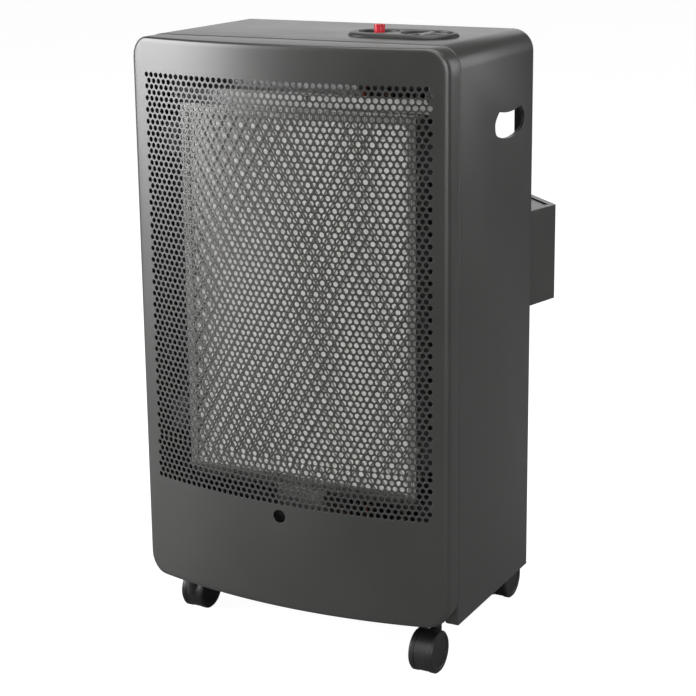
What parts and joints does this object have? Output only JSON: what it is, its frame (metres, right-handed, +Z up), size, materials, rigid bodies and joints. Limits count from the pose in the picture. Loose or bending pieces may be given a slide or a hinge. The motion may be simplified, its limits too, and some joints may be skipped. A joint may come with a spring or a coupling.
{
  "type": "catalytic gas cabinet heater",
  "caption": "Floor-standing catalytic gas cabinet heater with bowed perforated front, top tap and igniter, lift-off bottle band and twin-wheel castors.",
  "frame": {"origin": "on the floor, under the middle of the bounding box of the heater with its bottle band", "axes": "+Z up, -Y the front with the grille, +X the side with the controls as seen from the front (right)"},
  "size_m": [0.426, 0.42, 0.737],
  "materials": {
    "casing_paint": "semi-matte powder coat, dark anthracite grey",
    "black_plastic": "fine satin moulding",
    "knob_plastic": "satin moulding",
    "button_plastic": "glossy red moulding",
    "nut_plastic": "plain moulding",
    "castor_nylon": "satin nylon",
    "castor_tread": "satin hard nylon",
    "plated_steel": "zinc plated",
    "screw_steel": "zinc plated, dull",
    "aluminised_steel": "aluminised sheet",
    "bright_frame": "bright folded sheet",
    "galvanised_steel": "galvanised sheet with faint spangle",
    "bracket_steel": "dull plated sheet",
    "guard_steel": "expanded steel, heat tinted",
    "mineral_wool": "compressed mineral fibre",
    "catalyst_fibre": "needled ceramic fibre, off-white",
    "ceramic": "glazed ceramic",
    "probe_steel": "heat tinted steel",
    "valve_brass": "turned brass",
    "pipe_aluminium": "drawn tube",
    "pipe_copper": "bare copper",
    "lead_silicone": "silicone sleeve"
  },
  "bodies": {
    "heater_case": {"base_tray": "casing_paint", "body_wrap": "casing_paint", "burner_frame": "bright_frame", "burner_pan": "aluminised_steel", "case_screws": "screw_steel", "castor_sockets": "plated_steel", "catalyst_pad": "catalyst_fibre", "control_escutcheon": "black_plastic", "diffuser_sheet": "aluminised_steel", "frame_screws": "screw_steel", "front_panel": "casing_paint", "gas_injector": "valve_brass", "gas_valve": "valve_brass", "guard_mesh": "guard_steel", "heat_shield": "galvanised_steel", "ignition_lead": "lead_silicone", "inlet_nozzle": "valve_brass", "insulation_mat": "mineral_wool", "main_gas_pipe": "pipe_aluminium", "piezo_igniter": "black_plastic", "piezo_nut": "nut_plastic", "pilot_bracket": "bracket_steel", "pilot_burner": "plated_steel", "pilot_gas_pipe": "pipe_copper", "side_brackets": "galvanised_steel", "spark_electrode": "ceramic", "thermocouple": "probe_steel", "thermocouple_lead": "pipe_copper", "top_baffle": "galvanised_steel", "union_nuts": "valve_brass", "valve_strap": "galvanised_steel"},
    "bottle_band": {"retaining_band": "casing_paint"},
    "tap_rotor": {"valve_rotor": "plated_steel"},
    "tap_knob": {"valve_spindle": "plated_steel", "control_knob": "knob_plastic"},
    "igniter_button": {"piezo_button": "button_plastic"},
    "front_left_castor": {"castor_front_left_housing": "castor_nylon", "castor_front_left_stem": "plated_steel", "castor_front_left_axle": "plated_steel"},
    "front_left_left_wheel": {"castor_front_left_left_wheel": "castor_tread"},
    "front_left_right_wheel": {"castor_front_left_right_wheel": "castor_tread"},
    "front_right_castor": {"castor_front_right_housing": "castor_nylon", "castor_front_right_stem": "plated_steel", "castor_front_right_axle": "plated_steel"},
    "front_right_left_wheel": {"castor_front_right_left_wheel": "castor_tread"},
    "front_right_right_wheel": {"castor_front_right_right_wheel": "castor_tread"},
    "rear_left_castor": {"castor_rear_left_housing": "castor_nylon", "castor_rear_left_stem": "plated_steel", "castor_rear_left_axle": "plated_steel"},
    "rear_left_left_wheel": {"castor_rear_left_left_wheel": "castor_tread"},
    "rear_left_right_wheel": {"castor_rear_left_right_wheel": "castor_tread"},
    "rear_right_castor": {"castor_rear_right_housing": "castor_nylon", "castor_rear_right_stem": "plated_steel", "castor_rear_right_axle": "plated_steel"},
    "rear_right_left_wheel": {"castor_rear_right_left_wheel": "castor_tread"},
    "rear_right_right_wheel": {"castor_rear_right_right_wheel": "castor_tread"}
  },
  "joints": [
    {"name": "front_left_castor_swivel", "type": "hinge", "parent": "heater_case", "child": "front_left_castor", "pos_m": [-0.168, -0.14, 0.06], "axis": [0, 0, 1], "continuous": true},
    {"name": "front_left_left_wheel_spin", "type": "hinge", "parent": "front_left_castor", "child": "front_left_left_wheel", "pos_m": [-0.1798, -0.12, 0.025], "axis": [1, 0, 0], "continuous": true},
    {"name": "front_left_right_wheel_spin", "type": "hinge", "parent": "front_left_castor", "child": "front_left_right_wheel", "pos_m": [-0.1562, -0.12, 0.025], "axis": [1, 0, 0], "continuous": true},
    {"name": "front_right_castor_swivel", "type": "hinge", "parent": "heater_case", "child": "front_right_castor", "pos_m": [0.168, -0.14, 0.06], "axis": [0, 0, 1], "continuous": true},
    {"name": "front_right_left_wheel_spin", "type": "hinge", "parent": "front_right_castor", "child": "front_right_left_wheel", "pos_m": [0.1562, -0.16, 0.025], "axis": [1, 0, 0], "continuous": true},
    {"name": "front_right_right_wheel_spin", "type": "hinge", "parent": "front_right_castor", "child": "front_right_right_wheel", "pos_m": [0.1798, -0.16, 0.025], "axis": [1, 0, 0], "continuous": true},
    {"name": "rear_left_castor_swivel", "type": "hinge", "parent": "heater_case", "child": "rear_left_castor", "pos_m": [-0.16, 0.058, 0.06], "axis": [0, 0, 1], "continuous": true},
    {"name": "rear_left_left_wheel_spin", "type": "hinge", "parent": "rear_left_castor", "child": "rear_left_left_wheel", "pos_m": [-0.1718, 0.078, 0.025], "axis": [1, 0, 0], "continuous": true},
    {"name": "rear_left_right_wheel_spin", "type": "hinge", "parent": "rear_left_castor", "child": "rear_left_right_wheel", "pos_m": [-0.1482, 0.078, 0.025], "axis": [1, 0, 0], "continuous": true},
    {"name": "rear_right_castor_swivel", "type": "hinge", "parent": "heater_case", "child": "rear_right_castor", "pos_m": [0.16, 0.058, 0.06], "axis": [0, 0, 1], "continuous": true},
    {"name": "rear_right_left_wheel_spin", "type": "hinge", "parent": "rear_right_castor", "child": "rear_right_left_wheel", "pos_m": [0.1482, 0.078, 0.025], "axis": [1, 0, 0], "continuous": true},
    {"name": "rear_right_right_wheel_spin", "type": "hinge", "parent": "rear_right_castor", "child": "rear_right_right_wheel", "pos_m": [0.1718, 0.078, 0.025], "axis": [1, 0, 0], "continuous": true},
    {"name": "tap_turn", "type": "hinge", "parent": "heater_case", "child": "tap_rotor", "pos_m": [0.125, -0.072, 0.71], "axis": [0, 0, 1], "range_deg": [0, 240]},
    {"name": "tap_push", "type": "slide", "parent": "tap_rotor", "child": "tap_knob", "axis": [0, 0, -1], "range_m": [0, 0.006], "stiffness_N_per_m": 1500, "springref_m": -0.004},
    {"name": "igniter_push", "type": "slide", "parent": "heater_case", "child": "igniter_button", "axis": [0, 0, -1], "range_m": [0, 0.005], "stiffness_N_per_m": 2000, "springref_m": -0.003},
    {"name": "band_lift", "type": "slide", "parent": "heater_case", "child": "bottle_band", "axis": [0, 0, 1], "range_m": [0, 0.014]}
  ]
}
